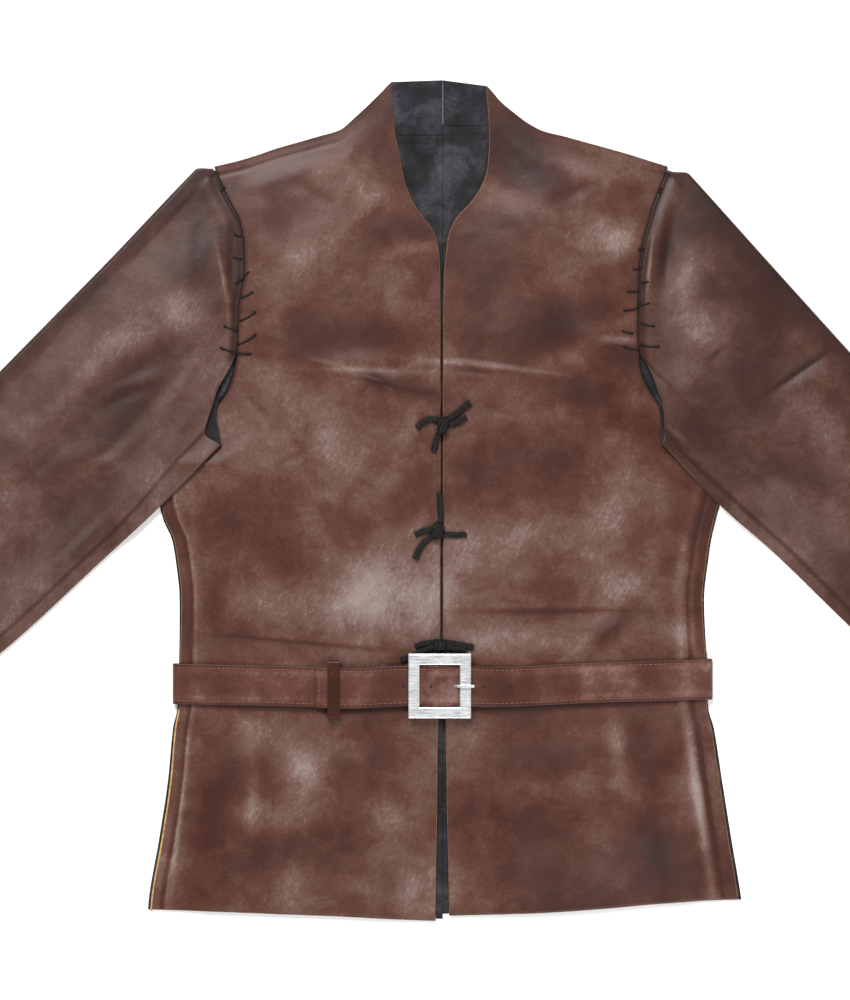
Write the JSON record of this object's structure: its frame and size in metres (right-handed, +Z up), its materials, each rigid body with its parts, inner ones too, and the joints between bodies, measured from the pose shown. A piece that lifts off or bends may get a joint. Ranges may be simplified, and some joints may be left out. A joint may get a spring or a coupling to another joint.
{
  "type": "belted leather jacket",
  "caption": "Hip-length leather jacket laid flat, with a stand collar, thong ties down the open front, laced armholes and a buckled belt.",
  "frame": {"origin": "on the floor under the middle of the laid-out jacket", "axes": "+X towards the wearer's left cuff, +Y towards the collar, +Z up from the floor through the front"},
  "size_m": [1.352, 0.8172, 0.0221],
  "materials": {
    "waxed_leather": "waxed, mottled, soft sheen",
    "sleeve_leather": "waxed, mottled, soft sheen",
    "belt_leather": "waxed, smooth",
    "flesh_side": "dark matt flesh side",
    "thong_leather": "matt black",
    "brushed_buckle": "brushed"
  },
  "bodies": {
    "root": {"front_left": "waxed_leather", "front_right": "waxed_leather", "back_left": "waxed_leather", "back_right": "waxed_leather", "neck_band_left": "flesh_side", "neck_band_right": "flesh_side", "sleeve_left": "sleeve_leather", "sleeve_right": "sleeve_leather", "belt": "belt_leather", "belt_keeper": "belt_leather", "buckle_frame": "brushed_buckle", "buckle_prong": "brushed_buckle", "tie_top_knot": "thong_leather", "tie_middle_knot": "thong_leather", "tie_bottom_knot": "thong_leather", "tie_top_thong_upper": "thong_leather", "tie_top_thong_lower": "thong_leather", "tie_middle_thong_upper": "thong_leather", "tie_middle_thong_lower": "thong_leather", "tie_bottom_thong_upper": "thong_leather", "tie_bottom_thong_lower": "thong_leather"}
  },
  "joints": []
}
